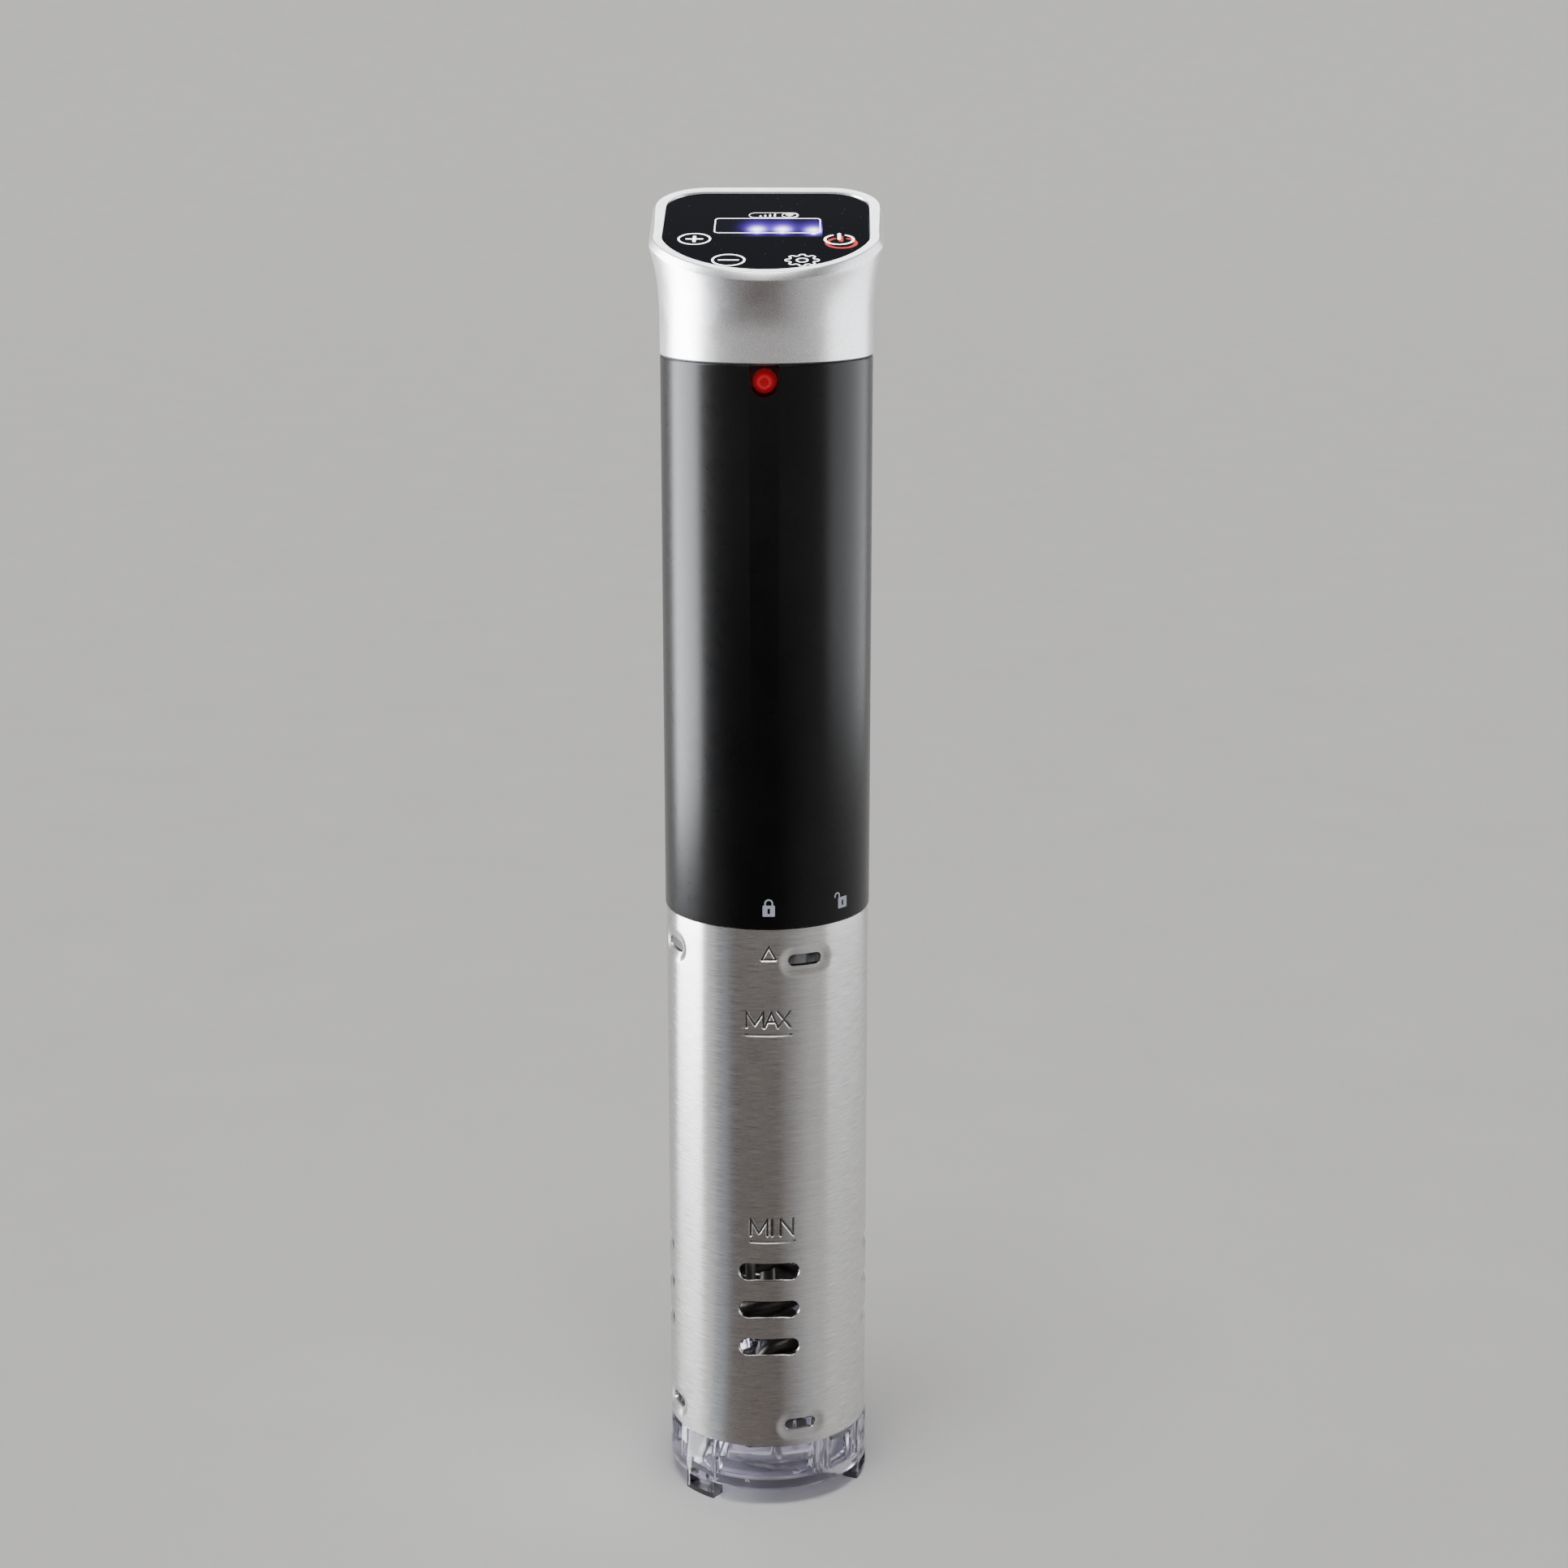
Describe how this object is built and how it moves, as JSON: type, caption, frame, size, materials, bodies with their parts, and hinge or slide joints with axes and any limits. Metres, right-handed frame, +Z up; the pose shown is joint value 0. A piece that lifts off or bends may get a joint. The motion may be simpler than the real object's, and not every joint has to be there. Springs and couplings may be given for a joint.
{
  "type": "sous vide circulator",
  "caption": "Stick immersion circulator with slanted touch panel head, black grip, slotted steel sleeve, clear twist-off foot and a spring pan clamp.",
  "frame": {"origin": "on the tube's axis, at the plane that the three legs stand on", "axes": "+Z up along the tube towards the head, -Y towards the front, where the panel faces the user, +X to the user's right"},
  "size_m": [0.0652, 0.0876, 0.3856],
  "materials": {
    "silver_paint": "satin silver paint over moulded plastic, fine metallic speckle",
    "black_glass": "glossy, back-printed black",
    "black_plastic": "semi-gloss, fine moulded grain",
    "dark_plastic": "plain moulded",
    "smoked_plastic": "smoked violet window",
    "led_red": "red lens",
    "clear_plastic": "clear moulded polycarbonate, faint violet tint",
    "brushed_steel": "brushed round the tube",
    "stainless": "plain stainless, drawn",
    "heater_steel": "heat-tinted stainless tube",
    "motor_steel": "zinc plated",
    "screw_steel": "plated screws",
    "copper": "enamelled copper winding",
    "brass": "turned brass",
    "aluminium": "extruded aluminium",
    "circuit_board": "green solder mask",
    "component_plastic": "component casing",
    "seal_rubber": "plain",
    "pad_rubber": "fine ribbed",
    "white_plastic": "acetal",
    "bush_plastic": "bearing plastic"
  },
  "bodies": {
    "handle": {"head_shell": "silver_paint", "panel_glass": "black_glass", "panel_gasket": "seal_rubber", "head_frame": "dark_plastic", "control_board": "circuit_board", "display_module": "dark_plastic", "touch_springs": "brass", "board_screws": "screw_steel", "head_seal": "seal_rubber", "head_screws": "screw_steel", "cord_gland": "black_plastic", "gland_nut": "dark_plastic", "grip_housing": "black_plastic", "status_window": "smoked_plastic", "status_led": "led_red", "led_board": "circuit_board", "inner_frame": "dark_plastic", "power_board": "circuit_board", "transformer": "copper", "filter_capacitor": "component_plastic", "relay": "component_plastic", "heat_sink": "aluminium", "triac": "dark_plastic", "ribbon_cable": "white_plastic", "motor_can": "motor_steel", "motor_end_cap": "motor_steel", "motor_bearings": "stainless", "stator": "copper", "motor_mount": "dark_plastic", "motor_screws": "screw_steel", "bayonet_collar": "black_plastic", "collar_seal": "seal_rubber", "seal_plate": "stainless", "seal_screws": "screw_steel", "shaft_seal": "seal_rubber", "shaft_tube": "stainless", "guide_bush": "bush_plastic", "heater_coil": "heater_steel", "heater_glands": "brass", "temperature_probe": "stainless", "level_probes": "stainless", "clamp_bracket": "black_plastic", "clamp_screws": "screw_steel", "clamp_nut": "screw_steel", "clamp_pin": "screw_steel", "fixed_pad": "pad_rubber"},
    "sleeve": {"steel_sleeve": "brushed_steel"},
    "foot": {"base_cap": "clear_plastic"},
    "drive": {"rotor": "motor_steel", "shaft_coupling": "aluminium", "drive_shaft": "stainless", "impeller": "white_plastic", "impeller_nut": "brass"},
    "clamp": {"clamp_lever": "black_plastic", "clamp_pad": "pad_rubber", "clamp_spring": "screw_steel"}
  },
  "joints": [
    {"name": "sleeve_twist", "type": "hinge", "parent": "handle", "child": "sleeve", "pos_m": [0, 0, 0.17], "axis": [0, 0, 1], "range_deg": [0, 45]},
    {"name": "foot_twist", "type": "hinge", "parent": "sleeve", "child": "foot", "pos_m": [0, 0, 0.028], "axis": [0, 0, 1], "range_deg": [0, 30]},
    {"name": "drive_spin", "type": "hinge", "parent": "handle", "child": "drive", "pos_m": [0, 0, 0.1], "axis": [0, 0, 1], "continuous": true},
    {"name": "clamp_squeeze", "type": "hinge", "parent": "handle", "child": "clamp", "pos_m": [0, 0.044, 0.268], "axis": [1, 0, 0], "range_deg": [0, 22], "stiffness_Nm_per_rad": 0.8, "springref_deg": -51.57}
  ]
}
